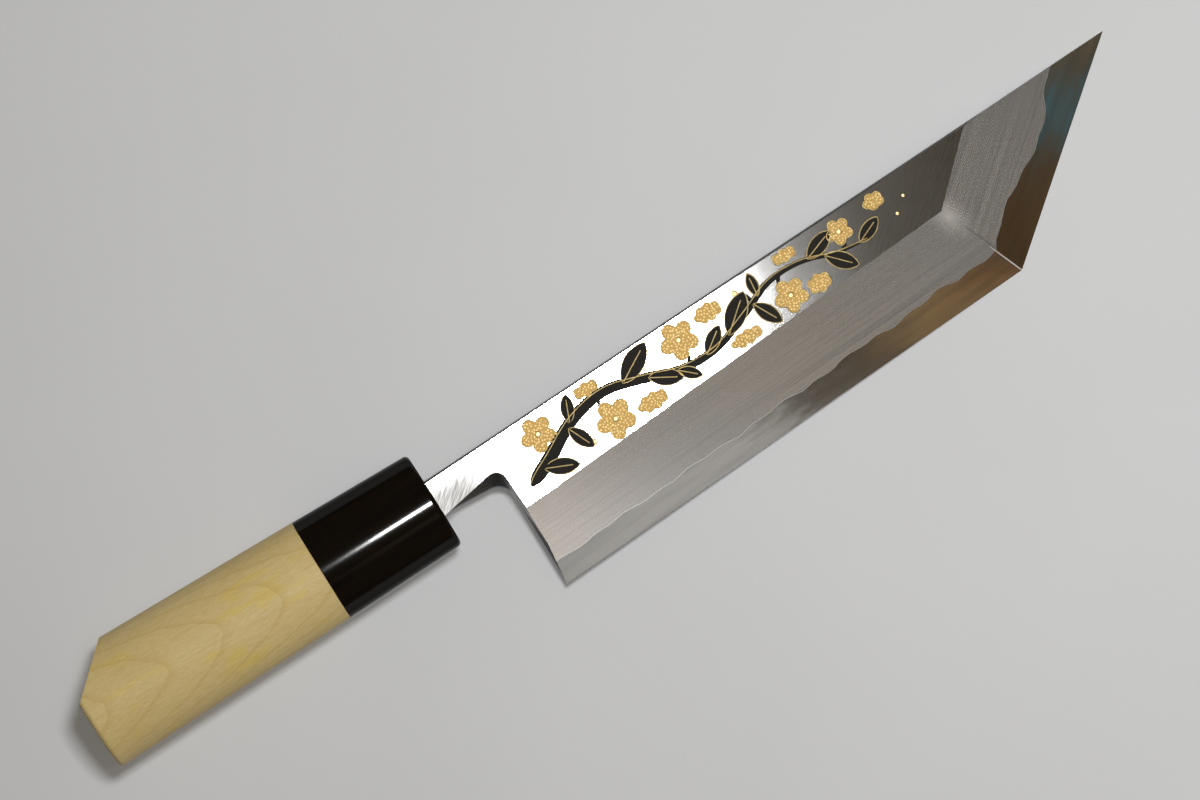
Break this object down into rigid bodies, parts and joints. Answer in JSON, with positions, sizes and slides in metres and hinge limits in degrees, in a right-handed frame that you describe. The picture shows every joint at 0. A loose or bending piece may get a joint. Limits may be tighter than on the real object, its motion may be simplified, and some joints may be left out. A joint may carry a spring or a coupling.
{
  "type": "eel knife",
  "caption": "Single-bevel kitchen knife for opening eels: straight spine, slanted chisel tip, hollow-ground back, horn ferrule and oval magnolia grip.",
  "frame": {"origin": "on the flat back of the blade, on the tang's centre line, level with the heel", "axes": "+X along the knife to the point, +Y towards the spine, +Z out of the blade's front face"},
  "size_m": [0.297, 0.0491, 0.0237],
  "materials": {
    "soft_iron": "satin, with fine crossing scratches on the flat and lengthwise stone marks on the bevels",
    "hard_steel": "polished nearly to a mirror along the cutting edges",
    "black_horn": "polished black horn",
    "magnolia": "bare pale wood, sanded, with lengthwise grain",
    "gold_inlay": "gold leaf in a punched ground",
    "black_inlay": "black fill, satin"
  },
  "bodies": {
    "root": {"blade_iron": "soft_iron", "blade_steel": "hard_steel", "horn_ferrule": "black_horn", "handle_grip": "magnolia"}
  },
  "joints": []
}
